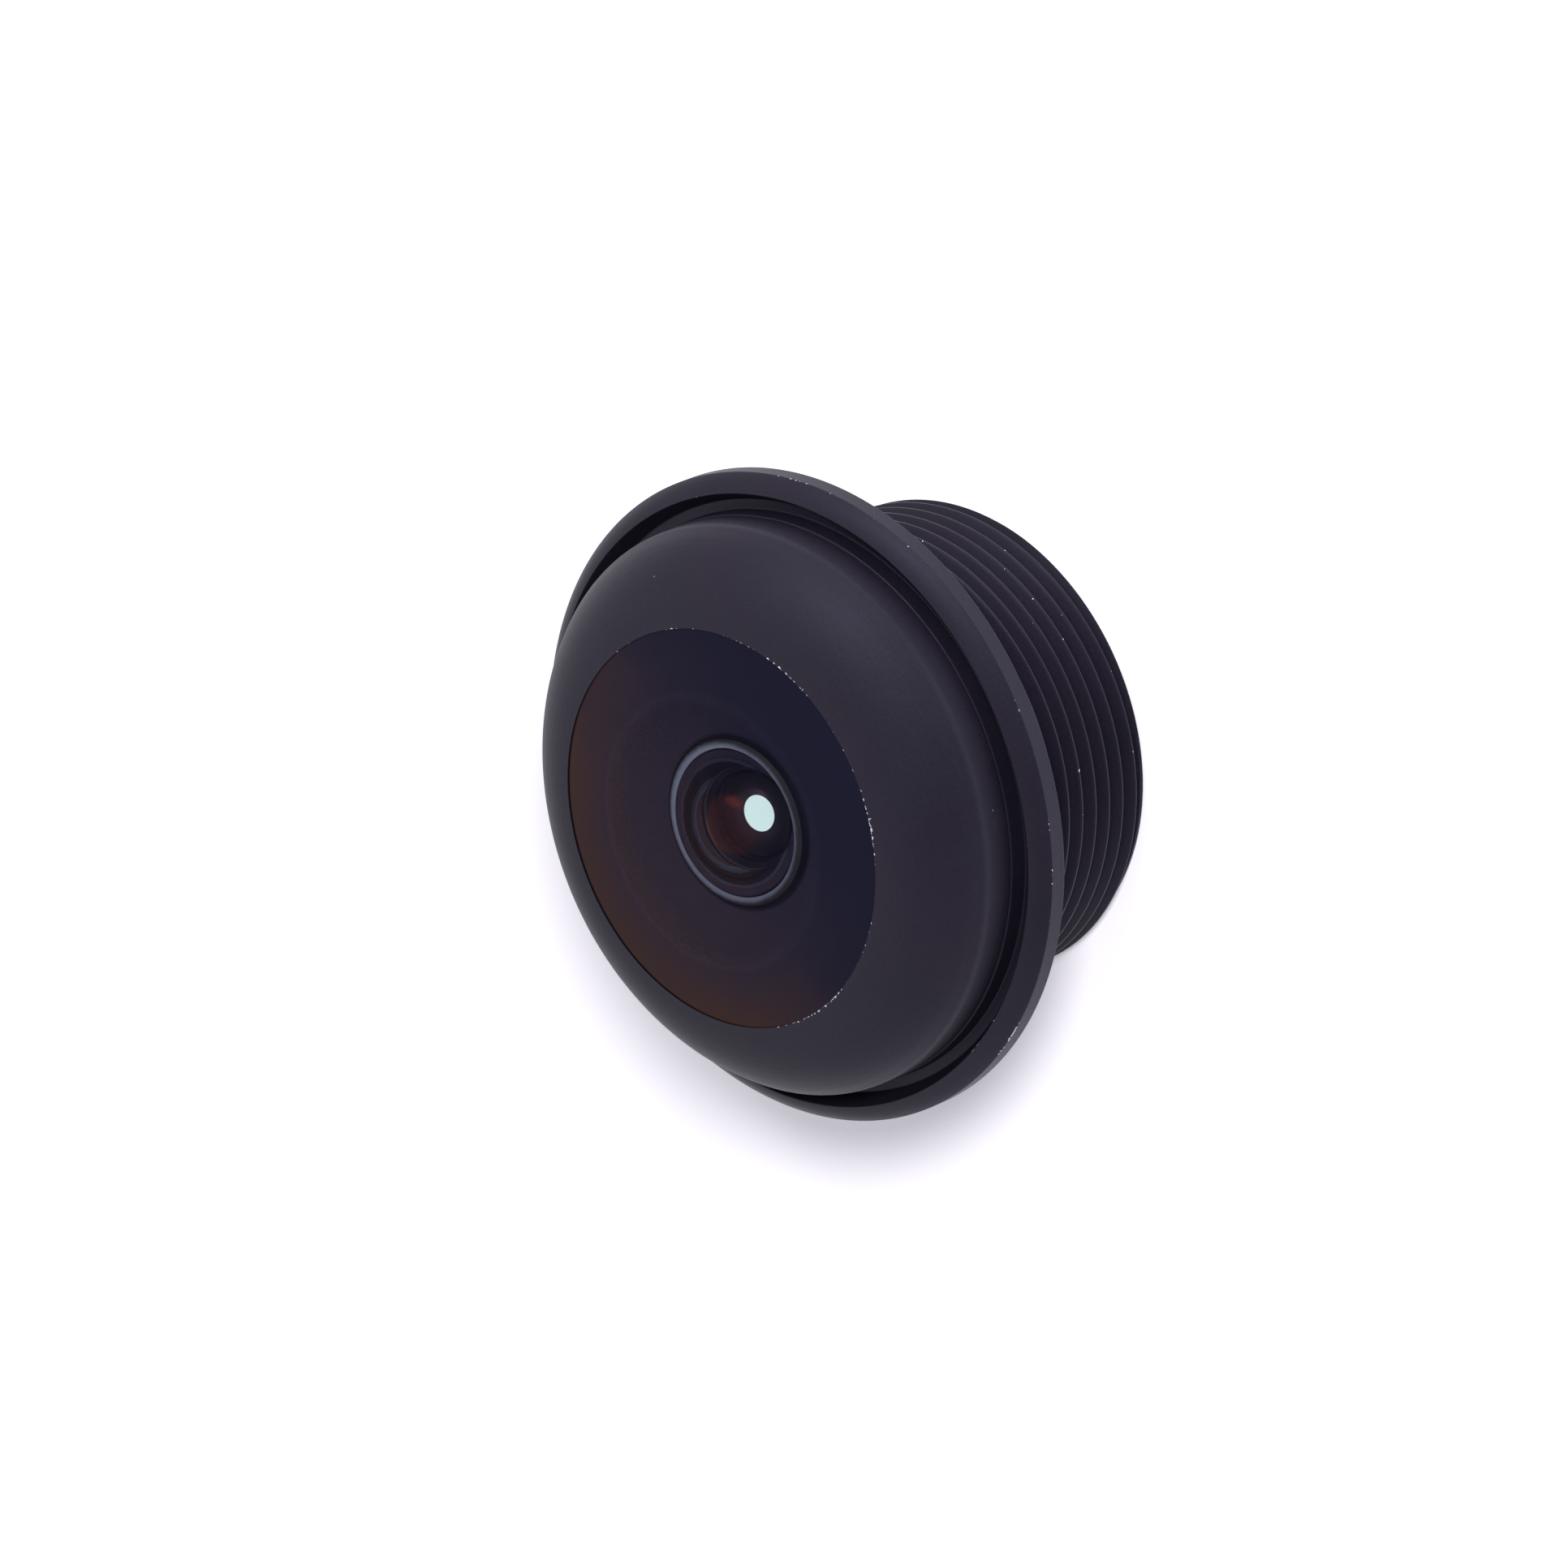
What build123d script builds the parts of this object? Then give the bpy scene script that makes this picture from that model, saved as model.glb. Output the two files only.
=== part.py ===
from build123d import *
import math
import os

# An M12 board camera lens, standing on its rear end.
# The optical axis is Z with the front of the lens up, and the origin is the middle of the rear end.
# Lengths are in millimetres and angles in degrees. The optics set the length of the barrel: the
# heights of the stacked pieces add up from the rear end to the web, and the cap follows the front lens.

# Mounting thread and rear of the barrel
thread_diameter = 12.0
thread_lead_in = 0.31
barrel_wall = 1.50
bore_lead_in = 0.15
edge_break = 0.05

# Flange, with a bevelled lip and a narrow seal groove round the neck
neck_step = 0.02
neck_rise = 0.50
groove_floor_width = 0.28
groove_slope_width = 0.24
groove_depth = 0.50
lip_bevel_width = 0.46
lip_rise = 0.36
flange_rim = 0.46

# Web and spigot, which carry the front lens
web_thickness = 0.80
web_hole_flare = 0.30
spigot_wall = 0.86
lens_seat_height = 0.25

# Front cap: a domed ring with a sharp inner edge round the glass
aperture_diameter = 10.06
aperture_land = 0.035
dome_edge_slope = 10.5
dome_drop = 1.60
shoulder_blend = 0.25
cap_wall = 0.82

# Front lens, its rubber seal and the light shield behind it
glass_bevel_width = 0.50
front_lens_edge = 1.065
front_lens_curve = 20.0
hollow_diameter = 3.60
hollow_depth = 1.30
seal_section = 0.50
seal_flat = 0.20
shield_thickness = 0.05

# Clearances: in the thread of the cap, round each lens, at the glass edge and round the seal.
# The margin keeps a spacer, a shield or the web clear of the lens face beside it.
thread_clearance = 0.02
lens_clearance = 0.02
glass_edge_gap = 0.03
seal_clearance = 0.01
face_margin = 0.10

# Inner stack: the height of each piece at its rim, and the width of the flat land round each lens
# face. A rise is how far the middle of a face stands out of its land, a hollow how far it goes in.
second_lens_rim = 0.70
second_lens_front_land = 2.53
second_lens_front_rise = 0.45
second_lens_rear_land = 2.58
second_lens_rear_hollow = 0.45
front_spacer_height = 0.35
third_lens_rim = 0.60
third_lens_land = 2.48
third_lens_front_rise = 0.35
third_lens_rear_rise = 0.25
middle_spacer_height = 0.30
stop_thickness = 0.08
stop_hole_diameter = 1.54
stop_spacer_height = 0.25
crown_lens_rim = 0.70
crown_lens_land = 2.38
crown_lens_rise = 0.20
cemented_land = 2.08
cemented_rise = 0.45
flint_lens_rim = 0.55
flint_lens_land = 2.08
flint_lens_rise = 0.20
long_spacer_height = 1.05
rear_lens_rim = 0.60
rear_lens_front_land = 1.98
rear_lens_front_rise = 0.45
rear_lens_rear_land = 2.08
rear_lens_rear_hollow = 0.15
rear_shield_thickness = 0.07
filter_thickness = 0.30
ring_wall = 1.28
ring_height = 0.60
ring_slot_width = 0.70
ring_slot_depth = 0.30
ring_recess = 0.50

# Radii, from the thread inwards and from the aperture outwards
thread_radius = thread_diameter / 2
bore_radius = thread_radius - barrel_wall
stack_radius = bore_radius - lens_clearance
aperture_radius = aperture_diameter / 2
glass_edge_radius = aperture_radius - glass_edge_gap
front_lens_radius = glass_edge_radius + glass_bevel_width
front_bore_radius = front_lens_radius + lens_clearance
spigot_radius = front_bore_radius + spigot_wall
cap_bore_radius = spigot_radius + thread_clearance
cap_radius = cap_bore_radius + cap_wall
neck_radius = cap_radius + neck_step
groove_outer_radius = neck_radius + groove_floor_width
lip_radius = groove_outer_radius + groove_slope_width
flange_radius = lip_radius + lip_bevel_width

# Heights above the rear end: up through the stack, down the flange, and up the front
ring_rear = ring_recess
filter_rear = ring_rear + ring_height
rear_shield_rear = filter_rear + filter_thickness
rear_lens_rear = rear_shield_rear + rear_shield_thickness
long_spacer_rear = rear_lens_rear + rear_lens_rim
flint_lens_rear = long_spacer_rear + long_spacer_height
crown_lens_rear = flint_lens_rear + flint_lens_rim
stop_spacer_rear = crown_lens_rear + crown_lens_rim
stop_rear = stop_spacer_rear + stop_spacer_height
middle_spacer_rear = stop_rear + stop_thickness
third_lens_rear = middle_spacer_rear + middle_spacer_height
front_spacer_rear = third_lens_rear + third_lens_rim
second_lens_rear = front_spacer_rear + front_spacer_height
web_rear = second_lens_rear + second_lens_rim
joint_z = web_rear
groove_z = joint_z - neck_rise
lip_z = groove_z + groove_depth
rim_front = lip_z - lip_rise
flange_rear = rim_front - flange_rim
web_front = web_rear + web_thickness
front_lens_rear = web_front + shield_thickness
spigot_end = front_lens_rear + lens_seat_height
glass_edge_z = front_lens_rear + front_lens_edge + glass_bevel_width
top_z = glass_edge_z + aperture_land
shoulder_z = top_z - dome_drop


def turned_ring(corners):
    """Turns a closed half-section, given as (radius, height) corners, about the optical axis."""
    with BuildPart() as turned:
        with BuildSketch(Plane.XZ):
            with BuildLine():
                Polyline(*corners, close=True)
            make_face()
        revolve(axis=Axis.Z)
    return turned


def flat_ring(rear, height, outer_radius, hole_radius):
    """A plain ring or film that stands on the height rear."""
    front = rear + height
    return turned_ring(
        [(hole_radius, rear), (outer_radius, rear), (outer_radius, front), (hole_radius, front)]
    )


def spacer(rear, height, land):
    """A spacer of the stack, beside a lens face with the given land. Its hole clears that face and is
    a shallow V, to break up stray light."""
    front = rear + height
    hole_radius = stack_radius - land + face_margin
    return turned_ring(
        [
            (hole_radius, rear),
            (stack_radius, rear),
            (stack_radius, front),
            (hole_radius, front),
            (hole_radius + height / 4, (front + rear) / 2),
        ]
    )


def turned_lens(rear, rear_radius, rear_rise, front, front_radius, front_rise, edge):
    """A lens with a round face inside each flat land, and the edge's (radius, height) corners from
    front to rear between them. A negative rise is a hollow."""
    front_middle = (0, front + front_rise)
    rear_middle = (0, rear - rear_rise)
    with BuildPart() as glass:
        with BuildSketch(Plane.XZ):
            with BuildLine():
                TangentArc(front_middle, (front_radius, front), tangent=(1, 0))
                Polyline((front_radius, front), *edge, (rear_radius, rear))
                TangentArc(rear_middle, (rear_radius, rear), tangent=(1, 0))
                Line(rear_middle, front_middle)
            make_face()
        revolve(axis=Axis.Z)
    return glass


def stack_lens(rear, rim, rear_land, rear_rise, front_land, front_rise):
    """A lens of the inner stack, with its rim's height and the land and rise of each face."""
    front = rear + rim
    return turned_lens(
        rear,
        stack_radius - rear_land,
        rear_rise,
        front,
        stack_radius - front_land,
        front_rise,
        [(stack_radius, front), (stack_radius, rear)],
    )


# Barrel: one turned piece, with the mounting thread's cylinder, the flange, the neck that the cap
# closes on, the spigot, the front lens's seat, the web and the bore for the stack
web_hole_radius = stack_radius - second_lens_front_land + face_margin
barrel = turned_ring(
    [
        (bore_radius + bore_lead_in, 0),
        (thread_radius - thread_lead_in, 0),
        (thread_radius, thread_lead_in),
        (thread_radius, flange_rear),
        (flange_radius, flange_rear),
        (flange_radius, rim_front),
        (lip_radius, lip_z),
        (groove_outer_radius, groove_z),
        (neck_radius, groove_z),
        (neck_radius, joint_z - edge_break),
        (neck_radius - edge_break, joint_z),
        (spigot_radius, joint_z),
        (spigot_radius, spigot_end),
        (front_bore_radius, spigot_end),
        (front_bore_radius, web_front),
        (web_hole_radius + web_hole_flare, web_front),
        (web_hole_radius, web_rear),
        (bore_radius, web_rear),
        (bore_radius, bore_lead_in),
    ]
)

# Front cap: its dome falls from the sharp edge round the glass to the wall. Its hollow follows the
# lens's bevel, then widens for the seal and again for the spigot.
seal_inner_radius = front_lens_radius + seal_clearance
seal_outer_radius = seal_inner_radius + seal_section
seal_rear = spigot_end + seal_clearance
seal_front = seal_rear + seal_section
seal_room_radius = seal_outer_radius + seal_clearance
seal_room_front = seal_front + seal_clearance
cap_step_z = spigot_end + edge_break
bevel_room_z = glass_edge_z - front_bore_radius + aperture_radius
dome_slope = math.radians(dome_edge_slope)

with BuildPart() as front_cap:
    with BuildSketch(Plane.XZ) as cap_section:
        with BuildLine():
            TangentArc(
                (aperture_radius, top_z),
                (cap_radius, shoulder_z),
                tangent=(math.cos(dome_slope), -math.sin(dome_slope)),
            )
            Polyline(
                (cap_radius, shoulder_z),
                (cap_radius, joint_z + edge_break),
                (cap_radius - edge_break, joint_z),
                (cap_bore_radius, joint_z),
                (cap_bore_radius, cap_step_z),
                (seal_room_radius, cap_step_z),
                (seal_room_radius, seal_room_front),
                (front_bore_radius, seal_room_front),
                (front_bore_radius, bevel_room_z),
                (aperture_radius, glass_edge_z),
                (aperture_radius, top_z),
            )
        make_face()
        shoulder = cap_section.vertices().sort_by_distance((cap_radius, shoulder_z))[0]
        fillet(shoulder, shoulder_blend)
    revolve(axis=Axis.Z)

# Front lens: a negative meniscus with a gently domed front, a deep round hollow behind, and a bevel
# that starts just inside the cap's edge. It stands on the web, over its light shield.
front_face_rise = front_lens_curve - math.sqrt(front_lens_curve**2 - glass_edge_radius**2)
front_lens = turned_lens(
    front_lens_rear,
    hollow_diameter / 2,
    -hollow_depth,
    glass_edge_z,
    glass_edge_radius,
    front_face_rise,
    [
        (front_lens_radius, glass_edge_z - glass_bevel_width),
        (front_lens_radius, front_lens_rear),
    ],
)
front_light_shield = flat_ring(
    web_front, shield_thickness, front_lens_radius, hollow_diameter / 2 + face_margin
)

# Front seal: the rubber ring round the lens's edge, squeezed to flats between the lens, the
# spigot's end and the cap
seal_corner = (seal_section - seal_flat) / 2
front_seal = turned_ring(
    [
        (seal_inner_radius, seal_rear + seal_corner),
        (seal_inner_radius + seal_corner, seal_rear),
        (seal_outer_radius - seal_corner, seal_rear),
        (seal_outer_radius, seal_rear + seal_corner),
        (seal_outer_radius, seal_front - seal_corner),
        (seal_outer_radius - seal_corner, seal_front),
        (seal_inner_radius + seal_corner, seal_front),
        (seal_inner_radius, seal_front - seal_corner),
    ]
)

# Inner stack, from the web to the slotted ring
second_lens = stack_lens(
    second_lens_rear,
    second_lens_rim,
    second_lens_rear_land,
    -second_lens_rear_hollow,
    second_lens_front_land,
    second_lens_front_rise,
)
front_spacer = spacer(front_spacer_rear, front_spacer_height, third_lens_land)
third_lens = stack_lens(
    third_lens_rear,
    third_lens_rim,
    third_lens_land,
    third_lens_rear_rise,
    third_lens_land,
    third_lens_front_rise,
)
middle_spacer = spacer(middle_spacer_rear, middle_spacer_height, third_lens_land)
aperture_stop = flat_ring(stop_rear, stop_thickness, stack_radius, stop_hole_diameter / 2)
stop_spacer = spacer(stop_spacer_rear, stop_spacer_height, crown_lens_land)

# Cemented pair: the crown's rear face and the flint's front face are one and the same surface
crown_lens = stack_lens(
    crown_lens_rear,
    crown_lens_rim,
    cemented_land,
    cemented_rise,
    crown_lens_land,
    crown_lens_rise,
)
flint_lens = stack_lens(
    flint_lens_rear,
    flint_lens_rim,
    flint_lens_land,
    flint_lens_rise,
    cemented_land,
    -cemented_rise,
)
long_spacer = spacer(long_spacer_rear, long_spacer_height, rear_lens_front_land)
rear_lens = stack_lens(
    rear_lens_rear,
    rear_lens_rim,
    rear_lens_rear_land,
    -rear_lens_rear_hollow,
    rear_lens_front_land,
    rear_lens_front_rise,
)
rear_light_shield = flat_ring(
    rear_shield_rear,
    rear_shield_thickness,
    stack_radius,
    stack_radius - rear_lens_rear_land + face_margin,
)
with BuildPart() as infrared_filter:
    with BuildSketch(Plane.XY.offset(filter_rear)):
        Circle(stack_radius)
    extrude(amount=filter_thickness)

# Slotted ring: it screws into the bore, and two slots across its rear face take a spanner
with BuildPart() as slotted_ring:
    with BuildSketch(Plane.XY.offset(ring_rear)):
        Circle(stack_radius)
        Circle(stack_radius - ring_wall, mode=Mode.SUBTRACT)
    extrude(amount=ring_height)
    with BuildSketch(Plane.XY.offset(ring_rear)):
        Rectangle(2 * bore_radius, ring_slot_width)
    extrude(amount=ring_slot_depth, mode=Mode.SUBTRACT)

pieces = {
    "barrel": barrel,
    "front_cap": front_cap,
    "front_lens": front_lens,
    "front_seal": front_seal,
    "front_light_shield": front_light_shield,
    "second_lens": second_lens,
    "front_spacer": front_spacer,
    "third_lens": third_lens,
    "middle_spacer": middle_spacer,
    "aperture_stop": aperture_stop,
    "stop_spacer": stop_spacer,
    "crown_lens": crown_lens,
    "flint_lens": flint_lens,
    "long_spacer": long_spacer,
    "rear_lens": rear_lens,
    "rear_light_shield": rear_light_shield,
    "infrared_filter": infrared_filter,
    "slotted_ring": slotted_ring,
}

os.makedirs("parts", exist_ok=True)
for name, piece in pieces.items():
    piece.part.label = name
    export_step(piece.part, f"parts/{name}.step")
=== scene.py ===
import math

import bmesh
import bpy
import numpy as np
from mathutils import Matrix, Vector


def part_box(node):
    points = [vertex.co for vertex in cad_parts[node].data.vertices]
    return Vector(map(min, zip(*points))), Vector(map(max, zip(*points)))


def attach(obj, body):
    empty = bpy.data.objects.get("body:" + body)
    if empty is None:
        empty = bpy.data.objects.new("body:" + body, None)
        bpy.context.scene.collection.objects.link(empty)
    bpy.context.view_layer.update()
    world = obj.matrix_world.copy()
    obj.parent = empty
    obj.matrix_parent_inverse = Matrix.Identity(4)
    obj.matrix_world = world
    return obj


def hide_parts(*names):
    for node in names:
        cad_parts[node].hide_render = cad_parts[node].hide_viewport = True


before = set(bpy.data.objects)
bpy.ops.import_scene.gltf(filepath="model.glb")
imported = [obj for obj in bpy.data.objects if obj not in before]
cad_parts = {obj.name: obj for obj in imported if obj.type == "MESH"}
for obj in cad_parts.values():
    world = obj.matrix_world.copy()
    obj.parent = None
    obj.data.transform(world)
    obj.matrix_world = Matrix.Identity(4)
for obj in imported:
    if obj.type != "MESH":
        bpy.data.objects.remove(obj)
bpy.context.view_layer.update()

# Barrel: one piece turned from aluminium bar, with the flange, its bevelled lip and seal groove, and
# the right-hand M12 x 0.5 mounting thread cut up to a narrow relief. It is blasted fine and black
# anodised, so it is satin, and its sharp edges are chipped down to the bare metal here and there.
mm = 0.001
turn_steps = 256
arc_steps = 8
thread_pitch = 0.50
thread_radius = 6.00
thread_depth = 0.307
thread_lead_in = 0.31
relief_radius = 5.66
relief_width = 0.40
bore_radius = 4.50
bore_lead_in = 0.15
flange_rear = 5.83
rim_front = 6.29
flange_radius = 8.22
lip_radius = 7.76
lip_z = 6.65
lip_bulge = -0.04
groove_z = 6.15
groove_outer_radius = 7.52
neck_radius = 7.24
joint_z = 6.65
spigot_radius = 6.38
spigot_end = 7.75
front_bore_radius = 5.52
web_front = 7.45
web_rear = 6.65
web_hole_radius = 2.05
web_hole_flare = 0.30
knocked_side = math.radians(-90)


def rounded(corners):
    """A profile through (radius, height, rounding) corners, in mm. A corner with a rounding becomes an
    arc: its centre lies on the bisector, rounding / cos(half turn) from the corner, and the arc's
    angle runs from minus to plus half the turn. A point beside each end keeps the flats flat."""
    points = []
    places = np.array(corners)[:, :2]
    for index, (radius, height, rounding) in enumerate(corners):
        corner = np.array([radius, height])
        if rounding == 0 or index in (0, len(corners) - 1):
            points.append(corner[None])
            continue
        arriving = corner - places[index - 1]
        leaving = places[index + 1] - corner
        arriving = arriving / np.hypot(*arriving)
        leaving = leaving / np.hypot(*leaving)
        half_turn = math.acos(np.clip(arriving @ leaving, -1, 1)) / 2
        inward = leaving - arriving
        inward = inward / np.hypot(*inward)
        along = arriving + leaving
        along = along / np.hypot(*along)
        centre = corner + inward * rounding / math.cos(half_turn)
        angle = np.linspace(-half_turn, half_turn, arc_steps)[:, None]
        arc = centre + rounding * (along * np.sin(angle) - inward * np.cos(angle))
        reach = rounding * (math.tan(half_turn) + 0.4)
        points += [(corner - arriving * reach)[None], arc, (corner + leaving * reach)[None]]
    return np.concatenate(points)


def turned_grid(profile):
    """Vertices of a profile turned about Z, in metres: (r cos a, r sin a, z) with the angle a in equal
    steps, one row to a profile point. The last column closes on the first."""
    angle = np.linspace(0, 2 * np.pi, turn_steps + 1)
    radius, height = profile[:, :1] * mm, profile[:, 1:] * mm
    return np.stack(
        [radius * np.cos(angle), radius * np.sin(angle), height + 0 * angle], axis=-1
    )


def grid_faces(rows, columns, first=0):
    """Quads of a grid of vertices stored row by row, starting at the vertex numbered first."""
    row, column = np.meshgrid(np.arange(rows - 1), np.arange(columns - 1), indexing="ij")
    corner = (first + row * columns + column).ravel()
    return np.stack([corner, corner + 1, corner + columns + 1, corner + columns], axis=-1)


def closed_piece(name, grids, materials, material_rows=None, sharp=28):
    """One closed mesh from several grids. Doubles are merged, faces turned outwards, and edges sharper
    than the given angle stay sharp. material_rows gives a material number for each row of faces."""
    vertices = np.concatenate([grid.reshape(-1, 3) for grid in grids])
    firsts = np.cumsum([0] + [grid.shape[0] * grid.shape[1] for grid in grids])
    faces = np.concatenate([grid_faces(*grid.shape[:2], first) for grid, first in zip(grids, firsts)])
    mesh = bpy.data.meshes.new(name)
    mesh.from_pydata(vertices.tolist(), [], faces.tolist())
    for material in materials:
        mesh.materials.append(material)
    if material_rows is not None:
        numbers = np.repeat(np.array(material_rows, dtype=np.int32), turn_steps)
        mesh.polygons.foreach_set("material_index", numbers)
    shell = bmesh.new()
    shell.from_mesh(mesh)
    bmesh.ops.remove_doubles(shell, verts=shell.verts, dist=0.0005 * mm)
    bmesh.ops.dissolve_degenerate(shell, edges=shell.edges, dist=0.0002 * mm)
    bmesh.ops.recalc_face_normals(shell, faces=shell.faces)
    shell.to_mesh(mesh)
    shell.free()
    mesh.shade_smooth()
    mesh.set_sharp_from_angle(angle=math.radians(sharp))
    piece = bpy.data.objects.new(name, mesh)
    bpy.context.scene.collection.objects.link(piece)
    return piece


def dress(piece, slot, *nodes):
    """Lets a finished piece ride on the part and stand for the CAD nodes, which are hidden; the slot is
    not used.
    """
    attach(piece, "root")
    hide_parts(*nodes)


def linear(hex_colour):
    """An sRGB hex colour as linear light with alpha 1."""
    channels = np.array([int(hex_colour[i:i + 2], 16) for i in (1, 3, 5)]) / 255
    light = np.where(channels <= 0.04045, channels / 12.92, ((channels + 0.055) / 1.055) ** 2.4)
    return (*light.tolist(), 1.0)


def add_node(tree, kind, sockets=None, **settings):
    """Adds one node with its settings. Each socket gets a value, or a link if the value is a socket."""
    node = tree.nodes.new(kind)
    for setting, value in settings.items():
        setattr(node, setting, value)
    for socket, value in (sockets or {}).items():
        if isinstance(value, bpy.types.NodeSocket):
            tree.links.new(value, node.inputs[socket])
        else:
            node.inputs[socket].default_value = value
    return node


def new_material(name):
    """An empty material with its output node, as (material, tree, output)."""
    material = bpy.data.materials.new(name)
    material.use_nodes = True
    material.node_tree.nodes.clear()
    output = material.node_tree.nodes.new("ShaderNodeOutputMaterial")
    return material, material.node_tree, output


def maths(tree, operation, first, second=0.0, third=0.0):
    """The value of one step of arithmetic between sockets or numbers."""
    return add_node(
        tree, "ShaderNodeMath", {0: first, 1: second, 2: third}, operation=operation
    ).outputs[0]


def axis_distance(tree, place):
    """Distance from the optical axis and height, in mm, of a point in metres."""
    parts = add_node(tree, "ShaderNodeSeparateXYZ", {0: place})
    squares = maths(
        tree, "ADD",
        maths(tree, "MULTIPLY", parts.outputs["X"], parts.outputs["X"]),
        maths(tree, "MULTIPLY", parts.outputs["Y"], parts.outputs["Y"]),
    )
    radius = maths(tree, "MULTIPLY", maths(tree, "SQRT", squares), 1 / mm)
    height = maths(tree, "MULTIPLY", parts.outputs["Z"], 1 / mm)
    return radius, height


def edge_chips(tree, place, edges):
    """A mask of chips along turned edges, each edge a (radius, height, reach, share) in mm. The
    distance to the edge's circle, less a reach that noise of 0.09 mm grain varies, is below nought
    inside a chip, and the share moves the noise so that more or fewer spots break through. The side
    that has been knocked is chipped, and the other has next to none."""
    radius, height = axis_distance(tree, place)
    grain = add_node(
        tree, "ShaderNodeTexNoise",
        {"Vector": place, "Scale": 1 / (0.09 * mm), "Detail": 1.0, "Roughness": 0.5},
    ).outputs["Fac"]
    patches = add_node(
        tree, "ShaderNodeTexNoise", {"Vector": place, "Scale": 1 / (1.4 * mm), "Detail": 1.0}
    ).outputs["Fac"]
    side = add_node(
        tree, "ShaderNodeVectorMath",
        {0: place, 1: (math.cos(knocked_side), math.sin(knocked_side), 0.0)},
        operation="DOT_PRODUCT",
    ).outputs["Value"]
    knocked = add_node(
        tree, "ShaderNodeMapRange",
        {"Value": side, "From Min": -3.5 * mm, "From Max": 0.5 * mm, "To Min": -1.6, "To Max": 0.0},
    ).outputs[0]
    mask = None
    for edge_radius, edge_height, reach, share in edges:
        away = maths(tree, "SUBTRACT", radius, edge_radius)
        above = maths(tree, "SUBTRACT", height, edge_height)
        distance = maths(
            tree, "SQRT",
            maths(tree, "ADD", maths(tree, "MULTIPLY", away, away), maths(tree, "MULTIPLY", above, above)),
        )
        broken = maths(
            tree, "ADD",
            maths(tree, "MULTIPLY", maths(tree, "SUBTRACT", grain, 0.5), 5.0),
            maths(tree, "MULTIPLY", maths(tree, "SUBTRACT", patches, 0.5), 4.0),
        )
        broken = maths(tree, "ADD", broken, knocked)
        room = maths(tree, "MULTIPLY", maths(tree, "ADD", broken, share - 1.0), reach)
        chip = maths(tree, "MULTIPLY", maths(tree, "SUBTRACT", room, distance), 60.0)
        chip = add_node(tree, "ShaderNodeClamp", {"Value": chip}).outputs[0]
        mask = chip if mask is None else maths(tree, "MAXIMUM", mask, chip)
    return mask


def crest_chips(tree, place, crest_radius, crest_top):
    """A mask of the few spots where a thread's crests are knocked bare: noise of 0.16 mm grain above a
    high level, only out at the crest radius and below the top of the thread, in mm."""
    radius, height = axis_distance(tree, place)
    spots = add_node(
        tree, "ShaderNodeTexNoise", {"Vector": place, "Scale": 1 / (0.16 * mm), "Detail": 1.0}
    ).outputs["Fac"]
    on_crest = maths(
        tree, "MULTIPLY",
        maths(tree, "GREATER_THAN", radius, crest_radius - 0.03),
        maths(
            tree, "MULTIPLY",
            maths(tree, "LESS_THAN", radius, crest_radius + 0.02),
            maths(tree, "LESS_THAN", height, crest_top),
        ),
    )
    return maths(tree, "MULTIPLY", on_crest, maths(tree, "GREATER_THAN", spots, 0.76))


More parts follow.
